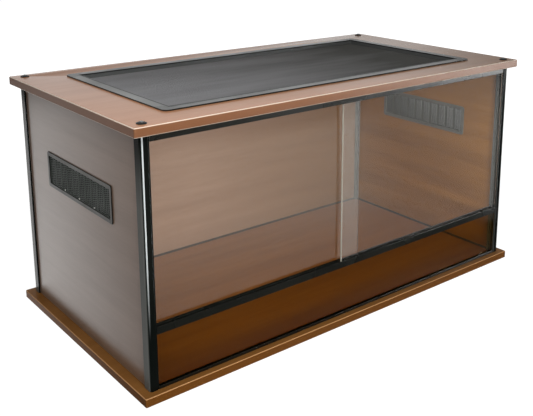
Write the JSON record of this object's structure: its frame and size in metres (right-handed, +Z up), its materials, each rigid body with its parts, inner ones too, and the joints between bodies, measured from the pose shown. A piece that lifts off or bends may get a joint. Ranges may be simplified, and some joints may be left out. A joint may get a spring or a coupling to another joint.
{
  "type": "terrarium cabinet",
  "caption": "Front-opening terrarium cabinet with laminate boards, black corner posts, sliding glass doors over a fixed pane, side vents and a lift-out screen top.",
  "frame": {"origin": "on the floor, at the centre of the base board's outline", "axes": "+X to the right along the front, +Y from the front to the back, +Z up; the doors are on the -Y side"},
  "size_m": [1.27, 0.686, 0.6372],
  "materials": {
    "board_laminate": "satin wood-grain laminate on particle board, brown with a light edge",
    "panel_laminate": "matt wood-grain laminate, grey brown",
    "black_extrusion": "satin black anodised extrusion",
    "clear_glass": "clear float glass with polished edges",
    "tinted_glass": "clear glass that looks brown against the dark floor behind it",
    "grey_extrusion": "satin grey extrusion",
    "grey_plastic": "moulded grey plastic",
    "wire_mesh": "fine woven mesh, dark grey",
    "rubber_trim": "dark matt rubber",
    "black_plastic": "moulded black plastic",
    "black_steel": "black oxide screws"
  },
  "bodies": {
    "cabinet": {"back_panel": "panel_laminate", "base_board": "board_laminate", "base_bolt_back_left": "black_steel", "base_bolt_back_right": "black_steel", "base_bolt_front_left": "black_steel", "base_bolt_front_right": "black_steel", "bottom_rail": "black_extrusion", "floor_seal_back": "rubber_trim", "floor_seal_left": "rubber_trim", "floor_seal_right": "rubber_trim", "front_pane": "tinted_glass", "lower_track": "black_extrusion", "post_back_left": "black_extrusion", "post_back_right": "black_extrusion", "post_front_left": "black_extrusion", "post_front_right": "black_extrusion", "side_panel_left": "panel_laminate", "side_panel_right": "panel_laminate", "top_board": "board_laminate", "top_bolt_back_left": "black_steel", "top_bolt_back_right": "black_steel", "top_bolt_front_left": "black_steel", "top_bolt_front_right": "black_steel", "top_washer_back_left": "black_plastic", "top_washer_back_right": "black_plastic", "top_washer_front_left": "black_plastic", "top_washer_front_right": "black_plastic", "upper_track": "black_extrusion", "vent_bezel_left": "black_plastic", "vent_bezel_right": "black_plastic", "vent_grille_left": "black_plastic", "vent_grille_right": "black_plastic", "vent_ring_left": "grey_plastic", "vent_ring_right": "grey_plastic"},
    "left_door": {"left_door": "clear_glass"},
    "right_door": {"right_door": "clear_glass"},
    "screen_top": {"screen_corner_back_left": "grey_plastic", "screen_corner_back_right": "grey_plastic", "screen_corner_front_left": "grey_plastic", "screen_corner_front_right": "grey_plastic", "screen_mesh": "wire_mesh", "screen_rail_back": "grey_extrusion", "screen_rail_front": "grey_extrusion", "screen_rail_left": "grey_extrusion", "screen_rail_right": "grey_extrusion", "screen_spline": "rubber_trim"}
  },
  "joints": [
    {"name": "left_door_slide", "type": "slide", "parent": "cabinet", "child": "left_door", "axis": [1, 0, 0], "range_m": [0, 0.574]},
    {"name": "right_door_slide", "type": "slide", "parent": "cabinet", "child": "right_door", "axis": [-1, 0, 0], "range_m": [0, 0.547]},
    {"name": "screen_lift", "type": "slide", "parent": "cabinet", "child": "screen_top", "axis": [0, 0, 1], "range_m": [0, 0.08]}
  ]
}
